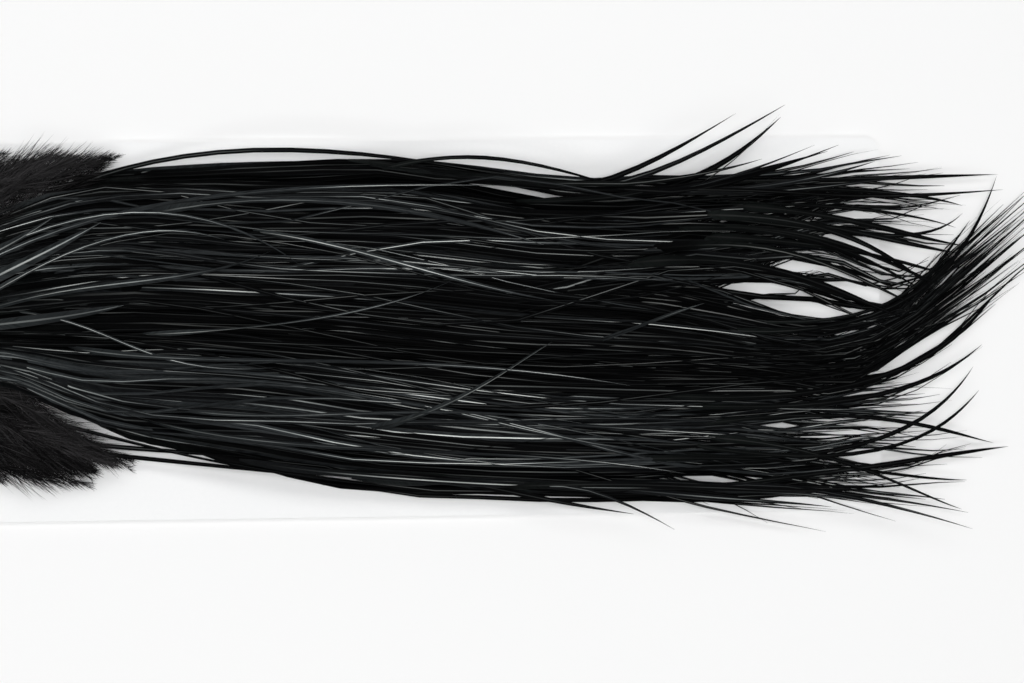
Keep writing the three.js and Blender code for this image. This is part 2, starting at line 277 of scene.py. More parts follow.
# The hide narrows over this share of its length at its rear end, where hackles cover it.
SKIN_NARROWS = 0.28
skin_shape = bmesh.new()
bmesh.ops.create_grid(skin_shape, x_segments=SKIN_STEPS[0], y_segments=SKIN_STEPS[1], size=1.0)
skin_run = Run("skin_patch")
skin_rng = np.random.default_rng(11)
ragged = skin_rng.uniform(-0.6, 0.6, 200) * MM
for number, vertex in enumerate(skin_shape.verts):
    along, across = (vertex.co.x + 1) / 2, vertex.co.y
    x = skin_low.x + along * (skin_high.x - skin_low.x)
    rim = max(abs(across), abs(2 * along - 1)) ** 12
    half_width = skin_run.width(x) / 2 * (1 - 0.4 * smooth((along - 1) / SKIN_NARROWS + 1))
    y = skin_run.middle(x) + across * (half_width - rim * (0.8 * MM + ragged[number % 200]))
    cockle = 0.35 * MM * math.sin(x * 210 + y * 90) * math.cos(y * 260 - x * 60)
    vertex.co = (x, y, skin_low.z + 0.5 * MM + cockle * 0.5 + rim * 0.5 * MM)
bmesh.ops.solidify(skin_shape, geom=skin_shape.faces[:], thickness=-SKIN_THICKNESS)
bmesh.ops.recalc_face_normals(skin_shape, faces=skin_shape.faces)
skin_mesh = bpy.data.meshes.new("hide_patch")
skin_shape.to_mesh(skin_mesh)
skin_shape.free()
skin_mesh.materials.append(hide)
for polygon in skin_mesh.polygons:
    polygon.use_smooth = True
link("hide_patch", skin_mesh, "carded_skin", "hide", "skin_patch")


# ---- Staples ----
# Flat steel wire with a drawn finish. The staples hold the skin's front edge to the card,
# and their legs are clinched flush under it.
wire, tree, shader = new_material("drawn_wire")
place = node(tree, "ShaderNodeTexCoord").outputs["Object"]
stretched = node(tree, "ShaderNodeMapping", {"Vector": place, "Scale": (6000.0, 300.0, 6000.0)})
scratches = node(tree, "ShaderNodeTexNoise", {"Vector": stretched.outputs[0], "Scale": 1.0, "Detail": 3.0})
tint = ramp(tree, scratches.outputs["Fac"], [(0.2, (0.42, 0.43, 0.45)), (0.8, (0.66, 0.67, 0.69))])
tree.links.new(tint, shader.inputs["Base Color"])
tree.links.new(ramp(tree, scratches.outputs["Fac"], [(0.2, 0.24), (0.8, 0.42)]), shader.inputs["Roughness"])
shader.inputs["Metallic"].default_value = 1.0
bump(tree, shader, scratches.outputs["Fac"], 0.2, 0.01 * MM)
refinish("staple_1", wire)
refinish("staple_2", wire)


# ---- Hackle feathers ----
# One hackle is a long narrow vane, folded slightly along its shaft, that twists as it goes
# and draws out to a needle tip. It is a thin three-sided body: two vane faces meeting at
# the shaft, and the underside.
hackle, tree, shader = new_material("dyed_hackle")
strand_map = node(tree, "ShaderNodeUVMap", uv_map="vane").outputs["UV"]
split = node(tree, "ShaderNodeSeparateXYZ", {"Vector": strand_map})
along, across = split.outputs["X"], split.outputs["Y"]
tone = node(tree, "ShaderNodeAttribute", attribute_name="tone").outputs["Fac"]
off_middle = node(tree, "ShaderNodeMath", {0: across, 1: 0.5}, operation="SUBTRACT")
off_shaft = node(tree, "ShaderNodeMath", {0: off_middle.outputs[0]}, operation="ABSOLUTE").outputs[0]
shaft = ramp(tree, off_shaft, [(0.045, 1.0), (0.11, 0.0)])
rim = ramp(tree, off_shaft, [(0.4, 0.0), (0.49, 1.0)])
lean = node(tree, "ShaderNodeMath", {0: off_shaft, 1: 4.0}, operation="MULTIPLY")
barb_place = node(tree, "ShaderNodeMath", {0: along, 1: lean.outputs[0]}, operation="SUBTRACT").outputs[0]
barbs = node(tree, "ShaderNodeMath", {0: barb_place, 1: 11.0}, operation="MULTIPLY")
barbs = node(tree, "ShaderNodeMath", {0: barbs.outputs[0]}, operation="SINE").outputs[0]
own_place = node(tree, "ShaderNodeMath", {0: tone, 1: 900.0}, operation="MULTIPLY").outputs[0]
clump_place = node(tree, "ShaderNodeCombineXYZ", {"X": barb_place, "Y": own_place}).outputs[0]
clumps = node(tree, "ShaderNodeTexNoise", {"Vector": clump_place, "Scale": 0.8, "Detail": 4.0}).outputs["Fac"]
# One noise along each feather places both the worn, dusty patches and the painted glints of the shaft and rim
# lines, which come and go along it.
wear_and_glint_place = node(tree, "ShaderNodeCombineXYZ", {"X": along, "Y": own_place}).outputs[0]
wear_and_glints = node(tree, "ShaderNodeTexNoise", {"Vector": wear_and_glint_place, "Scale": 0.018, "Detail": 2.0}).outputs["Fac"]


def scaled(tree, colour, factor):
    """A colour times a number that varies."""
    return node(tree, "ShaderNodeVectorMath", {0: colour, "Scale": factor}, operation="SCALE").outputs[0]


def blended(tree, factor, under, over):
    """One colour over another."""
    made = node(tree, "ShaderNodeMix", {"Factor": factor}, data_type="RGBA")
    tree.links.new(under, made.inputs[6])
    tree.links.new(over, made.inputs[7])
    return made.outputs[2]


# Near-black dye that turns slate grey towards the top of the tone range; that slate is a painted sheen of the
# lamps on flat vanes.
dye = ramp(tree, tone, [(0.0, (0.0004, 0.00045, 0.0006)), (0.55, (0.001, 0.0012, 0.0015)),
                        (0.78, (0.0065, 0.0075, 0.0085)), (1.0, (0.031, 0.0355, 0.038))])
streaks = ramp(tree, clumps, [(0.3, 0.3), (0.7, 1.0)])
near_root = node(tree, "ShaderNodeMath", {0: along, 1: 0.012}, operation="MULTIPLY").outputs[0]
undyed = ramp(tree, near_root, [(0.1, (0.008, 0.0105, 0.0094)), (0.8, (0.0, 0.0, 0.0))])
dusty = scaled(tree, undyed, ramp(tree, wear_and_glints, [(0.42, 0.0), (0.62, 1.0)]))
vane = node(tree, "ShaderNodeVectorMath", {0: dye, 1: dusty}, operation="ADD").outputs[0]
vane = scaled(tree, vane, streaks)
# The shaft line is horn grey where the noise is low and near white where it is high, which is a painted
# highlight. Its share grows with tone and fades towards the root.
highlight_share = ramp(tree, tone, [(0.0, 0.06), (0.45, 0.2), (0.8, 0.8), (0.97, 1.0)])
horn_and_highlight = ramp(tree, wear_and_glints, [(0.3, (0.012, 0.013, 0.0135)), (0.48, (0.055, 0.06, 0.061)),
                         (0.57, (0.28, 0.3, 0.295)), (0.68, (0.95, 0.98, 0.95))])
highlight_root_fade = ramp(tree, near_root, [(0.12, 0.15), (0.55, 1.0)])
horn_and_highlight = scaled(tree, scaled(tree, horn_and_highlight, highlight_share), highlight_root_fade)
# A paler line along each vane's edges, a painted highlight, stronger on feathers of higher tone.
rim_highlight = ramp(tree, wear_and_glints, [(0.4, (0.006, 0.0065, 0.007)), (0.7, (0.03, 0.032, 0.033))])
rim_highlight = scaled(tree, rim_highlight, highlight_share)
vane = blended(tree, rim, vane, rim_highlight)
tree.links.new(blended(tree, shaft, vane, horn_and_highlight), shader.inputs["Base Color"])
vane_gloss = ramp(tree, tone, [(0.3, 0.6), (0.9, 0.36)])
horn_gloss = ramp(tree, wear_and_glints, [(0.4, 0.42), (0.7, 0.25)])
tree.links.new(blended(tree, shaft, vane_gloss, horn_gloss), shader.inputs["Roughness"])
shader.inputs["Specular IOR Level"].default_value = 0.045
relief = node(tree, "ShaderNodeMath", {0: barbs, 1: clumps}, operation="ADD")
relief = node(tree, "ShaderNodeMath", {0: relief.outputs[0], 1: shaft}, operation="ADD")
bump(tree, shader, relief.outputs[0], 0.35, 0.05 * MM)

RINGS = 20


def prism_template(rings):
    """A three-sided bar along X from 0 to 1, cut into rings, with its ring and corner lists."""
    shape = bmesh.new()
    bmesh.ops.create_cone(shape, cap_ends=True, segments=3, radius1=1.0, radius2=1.0, depth=1.0)
    long_edges = [e for e in shape.edges if abs(e.verts[0].co.z - e.verts[1].co.z) > 0.5]
    bmesh.ops.subdivide_edges(shape, edges=long_edges, cuts=rings - 2, use_grid_fill=True)
    bmesh.ops.recalc_face_normals(shape, faces=shape.faces)
    shape.verts.ensure_lookup_table()
    ring = np.array([round((v.co.z + 0.5) * (rings - 1)) for v in shape.verts])
    turn = [math.degrees(math.atan2(v.co.y, v.co.x)) % 360 for v in shape.verts]
    first = min(turn)
    corner = np.array([round((t - first) / 120) % 3 for t in turn])
    uv = shape.loops.layers.uv.new("vane")
    middle_v = {0: 0.0, 1: 1.0, 2: 0.5}
    for face in shape.faces:
        for loop in face.loops:
            at = loop.vert.index
            loop[uv].uv = (ring[at] / (rings - 1), middle_v[int(corner[at])])
        face.smooth = len(face.verts) == 4
    for edge in shape.edges:
        ends = [edge.verts[0].index, edge.verts[1].index]
        along = ring[ends[0]] != ring[ends[1]]
        edge.smooth = not (along and corner[ends[0]] != 2)
    mesh = bpy.data.meshes.new("strand_template")
    shape.to_mesh(mesh)
    shape.free()
    return mesh, ring, corner


hackle_template = prism_template(RINGS)


def side_and_normal(centre, roll):
    """Unit vectors across and out of a strand at each point, turned by its roll."""
    run = np.gradient(centre, axis=1)
    run /= np.linalg.norm(run, axis=2, keepdims=True) + 1e-12
    side = np.cross(np.array([0.0, 0.0, 1.0]), run)
    side /= np.linalg.norm(side, axis=2, keepdims=True) + 1e-12
    normal = np.cross(run, side)
    cos, sin = np.cos(roll)[..., None], np.sin(roll)[..., None]
    return side * cos + normal * sin, normal * cos - side * sin


def strands_mesh(name, template, centre, half, ridge, roll, tone_values, material):
    """Many strands in one mesh: one copy of the template for each row of centre points.

    centre is strands x rings x 3; half, ridge and roll are strands x rings. No strand dips
    into the card.
    """
    base, ring, corner = template
    side, normal = side_and_normal(centre, roll)
    corners = np.stack([
        centre - side * half[..., None],
        centre + side * half[..., None],
        centre + normal * ridge[..., None],
    ], axis=2)
    placed = corners[:, ring, corner]
    placed[..., 2] = np.maximum(placed[..., 2], card_high.z + 0.1 * MM)
    shape = bmesh.new()
    for _ in range(len(centre)):
        shape.from_mesh(base)
    mesh = bpy.data.meshes.new(name)
    shape.to_mesh(mesh)
    shape.free()
    mesh.vertices.foreach_set("co", placed.reshape(-1))
    lengths = np.linalg.norm(np.diff(centre, axis=1), axis=2).sum(axis=1)
    loops_each = len(base.loops)
    uv = np.empty(len(mesh.loops) * 2)
    mesh.uv_layers["vane"].data.foreach_get("uv", uv)
    uv = uv.reshape(-1, 2)
    uv[:, 0] *= np.repeat(lengths / MM, loops_each)
    mesh.uv_layers["vane"].data.foreach_set("uv", uv.reshape(-1))
    tones = mesh.attributes.new("tone", "FLOAT", "POINT")
    tones.data.foreach_set("value", np.repeat(tone_values, len(ring)).astype(np.float32))
    mesh.materials.append(material)
    mesh.update()
    return mesh


def ring_shares():
    """Where a hackle's rings lie along it: closer together towards its root and tip."""
    u = np.linspace(0, 1, RINGS)[None, :]
    return u - 0.065 * np.sin(2 * math.pi * u)


def hackle_shape(rng, widths):
    """Half widths, ridge heights and rolls of hackles of given full widths, root to tip."""
    count = len(widths)
    t = ring_shares()
    grow = 0.4 + 0.6 * smooth(t / 0.05)
    webby_base = rng.uniform(0, 1, (count, 1)) ** 3 * 1.3
    swell = 1 + webby_base * np.exp(-(((t - 0.12) / 0.07) ** 2))
    taper_from = rng.uniform(0.4, 0.7, (count, 1))
    taper = 1 - np.clip((t - taper_from) / (1 - taper_from), 0, 1) ** 2.1
    half = widths[:, None] / 2 * grow * swell * (0.03 + 0.97 * taper)
    ridge = half * rng.uniform(0.15, 0.4, (count, 1))
    roll = rng.normal(0, 24, (count, 1)) + rng.normal(0, 40, (count, 1)) * (t - 0.4)
    rock = rng.uniform(6, 26, (count, 1))
    roll += rock * np.sin(t * rng.uniform(4, 11, (count, 1)) + rng.uniform(0, 6.3, (count, 1)))
    return half, ridge, np.radians(roll)


def ease_in(x, start, length):
    """0 up to start and 1 past start + length, which are in millimetres."""
    return smooth((x - start * MM) / (length * MM))


# Feathers draw together towards this line. At their roots, those on its far and near sides
# keep these shares of how far out they lie behind the skin.
ROOTS_TO = 2 * MM
FAR_ROOTS = 0.62
NEAR_ROOTS = 0.52
# The shares by which the bundle's edges are held in just behind the skin, and by which the far
# edge draws in again at a waist halfway along.
FAR_HELD_IN = 0.1
NEAR_HELD_IN = 0.08
FAR_WAIST = 0.06


def gather(x, y):
    """Draws feathers together over the skin, and holds the bundle's edges in behind it."""
    far_share = FAR_ROOTS + (1 - FAR_ROOTS) * ease_in(x, -125, 75)
    far_share -= FAR_HELD_IN * ease_in(x, -110, 60) * (1 - ease_in(x, 0, 50))
    far_share -= FAR_WAIST * np.exp(-(((x - 77 * MM) / (28 * MM)) ** 2))
    near_share = NEAR_ROOTS + (1 - NEAR_ROOTS) * ease_in(x, -78, 45)
    near_share -= NEAR_HELD_IN * ease_in(x, -60, 30) * (1 - ease_in(x, -15, 45))
    return ROOTS_TO + (y - ROOTS_TO) * np.where(y > ROOTS_TO, far_share, near_share)


# Slits between strands, where the card shows: the middle's x and y, half the length and half
# the width in millimetres, and the slope.
SLITS = [
    (131.5, 9.4, 15, 2.3, -0.13),
    (143.0, 4.6, 18, 2.4, -0.17),
    (150.0, 14.0, 17, 2.5, -0.36),
    (161.0, 9.0, 17, 2.4, -0.42),
    (161.0, 21.0, 17, 3.4, -0.36),
    (158.0, 30.0, 12, 1.3, -0.2),
    (177.0, -6.5, 17, 2.4, 0.55),
    (163.0, -36.0, 16, 2.2, -0.15),
    (137.0, -27.5, 8, 1.2, -0.05),
    (118.0, -42.0, 14, 1.2, -0.15),
    (13.0, -38.6, 14, 1.7, -0.12),
    (36.5, -41.3, 13, 1.7, -0.08),
    (48.0, 41.4, 11, 1.5, -0.12),
    (66.5, 36.8, 13, 2.0, -0.2),
    (96.3, 37.4, 13, 1.8, 0.0),
]


def part_round_slits(x, y):
    """Moves feathers aside round the slits, each to the side it is on at a slit's middle."""
    for middle_x, middle_y, half_length, half_width, slope in SLITS:
        off_x = x - middle_x * MM
        line = middle_y * MM + slope * off_x
        beside = np.array([np.interp(middle_x * MM, one_x, one_y) for one_x, one_y in zip(x, y)])
        side = np.where(beside >= middle_y * MM, 1.0, -1.0)[:, None]
        inside = np.clip(1 - (off_x / (half_length * MM)) ** 2, 0, 1)
        lens = inside * half_width * MM
        off = side * (y - line)
        moved = line + side * (off + np.sqrt(off**2 + 4 * lens**2)) / 2
        y = y + (moved - y) * smooth(inside * 3)
    return y


# The share of its height that the stack loses where it thins out towards its tips.
TIPS_SINK = 0.74


def settle(x, z):
    """Lets the stack of feathers sink onto the card towards its tips."""
    floor_z = card_high.z + 0.3 * MM
    return floor_z + (z - floor_z) * (1 - TIPS_SINK * ease_in(x, 80, 60))


def lock_paths(rng, run, loose, root_ahead, tip_short, wander, spill, splay, stir, aside=None):
    """Centre lines of the hackles of one lock, inside the room of its CAD solid.

    loose is 1 for feathers that stray across the others. root_ahead and tip_short are how
    far in front of the solid roots lie, in millimetres, and what share of it tips fall
    short by. aside gives how far a feather lies outside the lock at each x.
    """
    count = len(loose)
    t = ring_shares()
    start = run.x[0] - rng.uniform(*root_ahead, (count, 1)) * MM
    end = run.x[-1] - (run.x[-1] - run.x[0]) * rng.uniform(*tip_short, (count, 1))
    end += 4 * MM * rng.normal(0, 1, (count, 1))
    x = start + (end - start) * t
    share = (np.arange(count) + rng.uniform(0, 1, count)) / count - 0.5
    share = rng.permutation(share)[:, None] * spill
    y = run.middle(x) + share * np.maximum(run.width(x), 5 * MM)
    if aside is not None:
        y += aside(x)
    freed = smooth((x - run.x[0]) / (60 * MM)) * 0.8 + 0.2
    reach = wander * MM * freed * (1 + 5.5 * loose[:, None])
    phase = rng.uniform(0, 2 * math.pi, (count, 2))
    wave = rng.uniform(90, 180, (count, 2)) * MM * (1 + 0.8 * loose[:, None])
    for k in range(2):
        turns = 2 * math.pi * x / wave[:, k:k + 1] + phase[:, k:k + 1]
        y += reach * rng.normal(0, 0.6, (count, 1)) * np.sin(turns)
    late = np.clip((t - 0.68) / 0.32, 0, 1) ** 1.9
    y += late * (splay + rng.normal(0, stir, (count, 1))) * MM
    y = part_round_slits(x, gather(x, y))
    level = rng.uniform(0, 0.9, (count, 1))
    level = np.where(loose[:, None] > 0, 1.0 + 0.2 * level, level)
    z = run.bottom(x) + np.maximum(run.height(x), 1.2 * MM) * level
    return np.stack([x, y, settle(x, z)], axis=2)


def bezier(points, run, above):
    """A feather's centre line from four given (x, y) points, lying above its lock's top."""
    t = ring_shares()[0]
    weights = [(1 - t) ** 3, 3 * t * (1 - t) ** 2, 3 * t**2 * (1 - t), t**3]
    x = sum(w * p[0] * MM for w, p in zip(weights, points))
    y = sum(w * p[1] * MM for w, p in zip(weights, points))
    dip = (above + 2 * MM) * (1 - smooth(t / 0.12))
    top = run.bottom(x) + run.height(x) + above
    return np.stack([x, y, settle(x, top) - dip], axis=1)


# How high over its lock's top the first arc lies, and how much higher each further one.
FIRST_ARC_ABOVE = 1.3 * MM
NEXT_ARC_ABOVE = 0.25 * MM


def hackle_piece(name, seed, node_name, body, count, widths=(1.3, 2.3), root_ahead=(-6, 10),
                 tip_short=(0.0, 0.2), wander=0.8, spill=1.2, splay=0.0, stir=6.0,
                 loose_share=0.12, shine=0.0, aside=None, arcs=()):
    """All the hackles of one lock, as one piece in place of its CAD node.

    widths are full widths, and splay and stir how far tips turn aside together and each by
    itself, all in millimetres. wander is how far feathers wave, spill how much of the lock's
    width they fill, loose_share the share that stray, and shine is added to their tone. arcs
    are the listed feathers: four points, width and tone.
    """
    rng = np.random.default_rng(seed)
    run = Run(node_name)
    loose = (rng.uniform(0, 1, count) < loose_share).astype(float)
    centre = lock_paths(rng, run, loose, root_ahead, tip_short, wander, spill, splay, stir, aside)
    full = rng.uniform(*widths, count) * MM * np.where(rng.uniform(0, 1, count) < 0.3, 0.55, 1.0)
    full *= 1 - 0.45 * loose
    # Looseness and shine shift the tone, and with it the painted sheen and painted highlights.
    tones = rng.beta(1.3, 2.2, count) + 0.3 * loose + shine
    if arcs:
        laid = []
        for number, (points, _, _) in enumerate(arcs):
            laid.append(bezier(points, run, FIRST_ARC_ABOVE + number * NEXT_ARC_ABOVE))
        centre = np.concatenate([centre, np.stack(laid)])
        full = np.concatenate([full, [width * MM for _, width, _ in arcs]])
        tones = np.concatenate([tones, [arc_tone for _, _, arc_tone in arcs]])
    tones = np.clip(tones, 0, 1)
    half, ridge, roll = hackle_shape(rng, full)
    mesh = strands_mesh(name, hackle_template, centre, half, ridge, roll, tones, hackle)
    return link(name, mesh, body, "hackle_feather", node_name)


# ---- Lower and middle rows of locks ----
# These hackles lie flat on the skin and the card under the top row, and fill the bundle
# out. They stay with the skin.
for i in range(1, 8):
    name = f"low_hackle_lock_{i}"
    hackle_piece(name + "_feathers", 100 + i, name, "carded_skin", 30, splay=(i - 4) * 1.2)
for i in range(1, 7):
    name = f"mid_hackle_lock_{i}"
    hackle_piece(name + "_feathers", 200 + i, name, "carded_skin", 40, splay=(i - 3.5) * 1.5, shine=-0.06)


def lifting_lock(node_name, body, seed, count, **more):
    """A lock of the top row, as a piece of its own with its transform baked in."""
    piece = hackle_piece(node_name + "_feathers", seed, node_name, None, count, root_ahead=(0, 24), **more)
    x = Run(node_name).x[0]
    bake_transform(piece)


# Long feathers that lie in an arc across their neighbours: four points, width and tone.
TOP_ARCS = {
    1: [(((-40, -22), (0, -36), (60, -30), (110, -40)), 1.4, 0.9),
        (((100, -45), (155, -41), (180, -36), (200, -34)), 1.3, 0.4),
        (((90, -36), (140, -34), (170, -43), (188.5, -43)), 1.1, 0.3),
        (((110, -30), (150, -31), (172, -46), (187, -51)), 1.2, 0.4)],
    2: [(((22, -27), (45, -24), (60, -12), (74, -4)), 1.7, 0.93),
        (((-30, -20), (0, -27), (40, -18), (82, -26)), 1.0, 0.9),
        (((95, -33), (158, -42), (180, -28), (190.5, -12)), 1.2, 0.3),
        (((105, -28), (160, -20), (180, -29), (196, -33)), 1.1, 0.3),
        (((100, -30), (165, -44), (182, -30), (192, -18.5)), 1.2, 0.3)],
    6: [(((-90, 14), (-48, 40), (-15, 34), (7, 17)), 0.9, 0.97),
        (((-40, 30), (-5, 38), (30, 36), (72, 22)), 1.5, 0.9),
        (((110, 30), (150, 27), (176, 18), (188, 30)), 1.2, 0.4),
        (((100, 34), (150, 33), (172, 31), (186, 26)), 1.2, 0.4),
        (((115, 30), (150, 29), (168, 22), (187, 19)), 1.5, 0.4),
        (((118, 33), (155, 31), (170, 24), (188.5, 21)), 1.6, 0.3),
        (((108, 24), (150, 24), (170, 17), (184, 13)), 1.5, 0.3)],
    7: [(((-95, 8), (-60, 34), (-10, 40), (60, 38)), 1.3, 0.93),
        (((-98, 12), (-84, 17), (-72, 22), (-58, 31)), 3.0, 0.95),
        (((110, 39), (150, 39), (175, 40), (198, 40.5)), 1.3, 0.4),
        (((110, 36), (150, 38), (175, 36), (188, 32)), 1.2, 0.4)],
}
for i, splay, shine in ((1, -3.0, 0.2), (2, 0.0, 0.22), (6, 1.0, 0.1), (7, 3.0, 0.18)):
    lifting_lock(f"top_hackle_lock_{i}", f"top_lock_{i}", 300 + i, 44, splay=splay, shine=shine,
                 widths=(1.3, 2.5), wander=1.0, loose_share=0.18, arcs=TOP_ARCS[i])


# ---- Curved locks ----
# Three neighbouring locks of the top row draw together near their ends and sweep round
# towards the card's far edge. Strands of the highest still lie out among its neighbours
# before they draw in, and some of the lowest hang outside the sweep.
def among_neighbours(count, out, strand_count, rise, fall, seed):
    """Sideways offsets, up to out millimetres, for feathers that lie outside their lock.

    They gather into strand_count strands, which leave the lock over rise and are back in it
    after fall, each a start and a length.
    """
    rng = np.random.default_rng(seed)
    strand = rng.integers(0, strand_count, count)
    share = (strand + 0.35 * rng.uniform(0, 1, count)) / strand_count
    share = np.where(rng.uniform(0, 1, count) < 0.5, share, 0.0)[:, None]

    def aside(x):
        lane = ease_in(x, *rise) * (1 - ease_in(x, *fall))
        return out * MM * share * lane
    return aside


CURVED = {
    1: dict(aside=among_neighbours(48, -6, 3, (130, 30), (215, 20), 41), tip_short=(0.0, 0.14)),
    2: dict(tip_short=(0.0, 0.1)),
    3: dict(aside=among_neighbours(74, 22, 5, (60, 60), (150, 30), 43), tip_short=(0.0, 0.12)),
}
CURVED_ARCS = {
    1: [(((-75, 6), (-42, 5), (-38, -13), (0, -10)), 0.8, 0.97),
        (((-60, -3), (-20, -12), (30, -4), (95, -16)), 1.2, 0.9),
        (((95, -18), (165, -25), (184, -8), (197, 8)), 1.6, 0.3),
        (((100, -21), (165, -26), (182, -15), (193, -6)), 1.4, 0.3)],
    2: [(((-40, -1), (0, 0), (30, 4), (50, 14)), 0.9, 0.95),
        (((86, -4), (96, -1), (105, 3), (116, 6)), 1.2, 0.9),
        (((-92, 0), (-78, 2), (-60, 3), (-40, 7)), 3.0, 0.9)],
    3: [(((-85, 5), (-50, 27), (-30, 30), (-13, 24)), 0.8, 0.97),
        (((-88, 2), (-55, 16), (-25, 10), (-1, 21)), 2.2, 0.93),
        (((-10, 27), (20, 24), (45, 12), (75, 7)), 1.4, 0.97),
        (((-96, 6), (-80, 12), (-66, 18), (-46, 29)), 3.4, 0.93),
        (((110, 0), (168, -8), (188, 12), (197.5, 40)), 1.2, 0.4),
        (((120, 2), (170, -4), (178, 12), (190, 28)), 1.0, 0.4),
        (((104, 26), (138, 28), (156, 22), (178, 8)), 1.8, 0.3),
        (((110, 30), (146, 30), (160, 25), (180, 9)), 1.7, 0.4),
        (((96, 20), (136, 26), (150, 17), (176, 4)), 1.9, 0.35),
        (((112, 27), (148, 27), (160, 20), (182, 10)), 1.5, 0.3),
        (((90, 16), (130, 22), (148, 11), (172, 1)), 1.8, 0.3)],
}
for i, count in ((1, 48), (2, 44), (3, 74)):
    lifting_lock(f"curved_hackle_lock_{i}", f"curved_lock_{i}", 310 + i, count, stir=4.5, shine=-0.15,
                 widths=(1.5, 2.6), wander=0.8, splay=3.0, loose_share=0.1, arcs=CURVED_ARCS[i], **CURVED[i])


# ---- Edge locks and strays ----
# The outermost hackles along both long edges, and the few single feathers that stand away
# from them.
# Strays start this far inside their edge and lie this far above its lowest feathers.
STRAY_INSET = 2.5 * MM
STRAY_RISE = 5.5 * MM


def joint_of(body):
    """The joint that moves a body."""
    return next(joint for joint in frame["joints"] if joint["child"] == body)


def bend_sideways(piece):
    """Bakes a piece's transform into its mesh."""
    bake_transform(piece)


def edge_lock(node_name, body, seed, **more):
    """An edge lock's hackles, with their transform baked in."""
    piece = hackle_piece(node_name + "_feathers", seed, node_name, None, 34, root_ahead=(4, 26), **more)
    bend_sideways(piece)


def stray_lock(node_name, edge_name, seed, side, feathers):
    """Single feathers that leave an edge: start, where they leave, tip and reach beyond it."""
    rng = np.random.default_rng(seed)
    edge = Run(edge_name)
    outer = 1 if side > 0 else 0
    t = ring_shares()[0]
    centre = []
    for start, leave, tip, reach in feathers:
        x = (start + (tip - start) * t) * MM
        away = np.clip((x - leave * MM) / ((tip - leave) * MM), 0, 1) ** 1.5
        y = edge.at(x, outer) - side * STRAY_INSET + side * (reach * MM + STRAY_INSET) * away
        y += side * rng.normal(0, 0.8) * MM * np.sin(x / (14 * MM) + rng.uniform(0, 6.3))
        z = edge.bottom(x) + STRAY_RISE + rng.uniform(0.5, 2.0) * MM
        centre.append(np.stack([x, y, z], axis=1))
    centre = np.stack(centre)
    tones = rng.uniform(0.1, 0.8, len(centre))
    full = rng.uniform(1.3, 1.9, len(centre)) * MM
    half, ridge, roll = hackle_shape(rng, full)
    mesh = strands_mesh(node_name + "_feathers", hackle_template, centre, half, ridge, roll, tones, hackle)
    piece = link(node_name + "_feathers", mesh, None, "hackle_feather", node_name)
    bend_sideways(piece)


edge_lock("upper_edge_lock", "upper_edge", 401, splay=2.0, tip_short=(0.0, 0.16), loose_share=0.0,
          arcs=[(((-66, 33), (-34, 51.5), (8, 52), (64, 40.5)), 1.3, 0.5),
                (((26, 42), (50, 48.8), (66, 46.8), (100, 35)), 1.1, 0.4),
                (((60, 34), (104, 33), (119, 39), (138, 56.5)), 1.7, 0.3)])
edge_lock("lower_edge_lock", "lower_edge", 402, splay=-1.0, loose_share=0.0,
          arcs=[(((-92, -19), (-66, -32), (-40, -30), (10, -36)), 1.3, 0.5),
                (((-88, -22), (-64, -34), (-32, -33), (30, -42)), 1.2, 0.3),
                (((-80, -20), (-48, -25), (-30, -36), (36, -43)), 1.3, 0.6)])
stray_lock("upper_stray_lock_1", "upper_edge_lock", 403, 1, [
    (20, 78, 125, 18), (26, 82, 138.5, 21), (74, 108, 137, 19),
])
stray_lock("upper_stray_lock_2", "upper_edge_lock", 404, 1, [
    (30, 104, 146.5, 10.5), (36, 106, 153, 10.5), (40, 100, 150, 9), (50, 92, 132, 7.5),
    (50, 120, 163, 7.5), (60, 130, 176, 4.5), (70, 150, 198, 1.5),
])
stray_lock("lower_stray_lock", "lower_edge_lock", 405, -1, [
    (30, 128, 188.6, 16), (40, 124, 187.5, 11.5), (20, 92, 150, 6), (-10, 78, 107, 9),
    (-20, 44, 96, 4.5), (30, 100, 132, 4), (60, 140, 172, 5), (60, 120, 161, 2),
])


# ---- Webby feathers ----
# Short soft feathers whose barbs don't hook together. Each is a thin shaft with loose
# barbs down both sides; each barb is a fine tapering spike.
webby, tree, shader = new_material("webby_down")
strand_map = node(tree, "ShaderNodeUVMap", uv_map="vane").outputs["UV"]
split = node(tree, "ShaderNodeSeparateXYZ", {"Vector": strand_map})
tone = node(tree, "ShaderNodeAttribute", attribute_name="tone").outputs["Fac"]
dye = node(tree, "ShaderNodeMix", {"Factor": tone}, data_type="RGBA")
dye.inputs[6].default_value = (0.0006, 0.0006, 0.0007, 1.0)
dye.inputs[7].default_value = (0.062, 0.061, 0.064, 1.0)
nodes_place = node(tree, "ShaderNodeCombineXYZ", {"X": split.outputs["X"], "Y": tone})
knots = node(tree, "ShaderNodeTexNoise", {"Vector": nodes_place.outputs[0], "Scale": 1.6, "Detail": 2.0})
faded = node(tree, "ShaderNodeMix", {"Factor": knots.outputs["Fac"]}, data_type="RGBA", blend_type="MULTIPLY")
tree.links.new(dye.outputs[2], faded.inputs[6])
faded.inputs[7].default_value = (0.55, 0.52, 0.5, 1.0)
tree.links.new(faded.outputs[2], shader.inputs["Base Color"])
tree.links.new(ramp(tree, knots.outputs["Fac"], [(0.3, 0.62), (0.7, 0.85)]), shader.inputs["Roughness"])
shader.inputs["Specular IOR Level"].default_value = 0.08
bump(tree, shader, knots.outputs["Fac"], 0.3, 0.05 * MM)

BARB_TAPER = np.array([1.0, 0.85, 0.55, 0.05])
BARB_RINGS = len(BARB_TAPER)
barb_template = prism_template(BARB_RINGS)


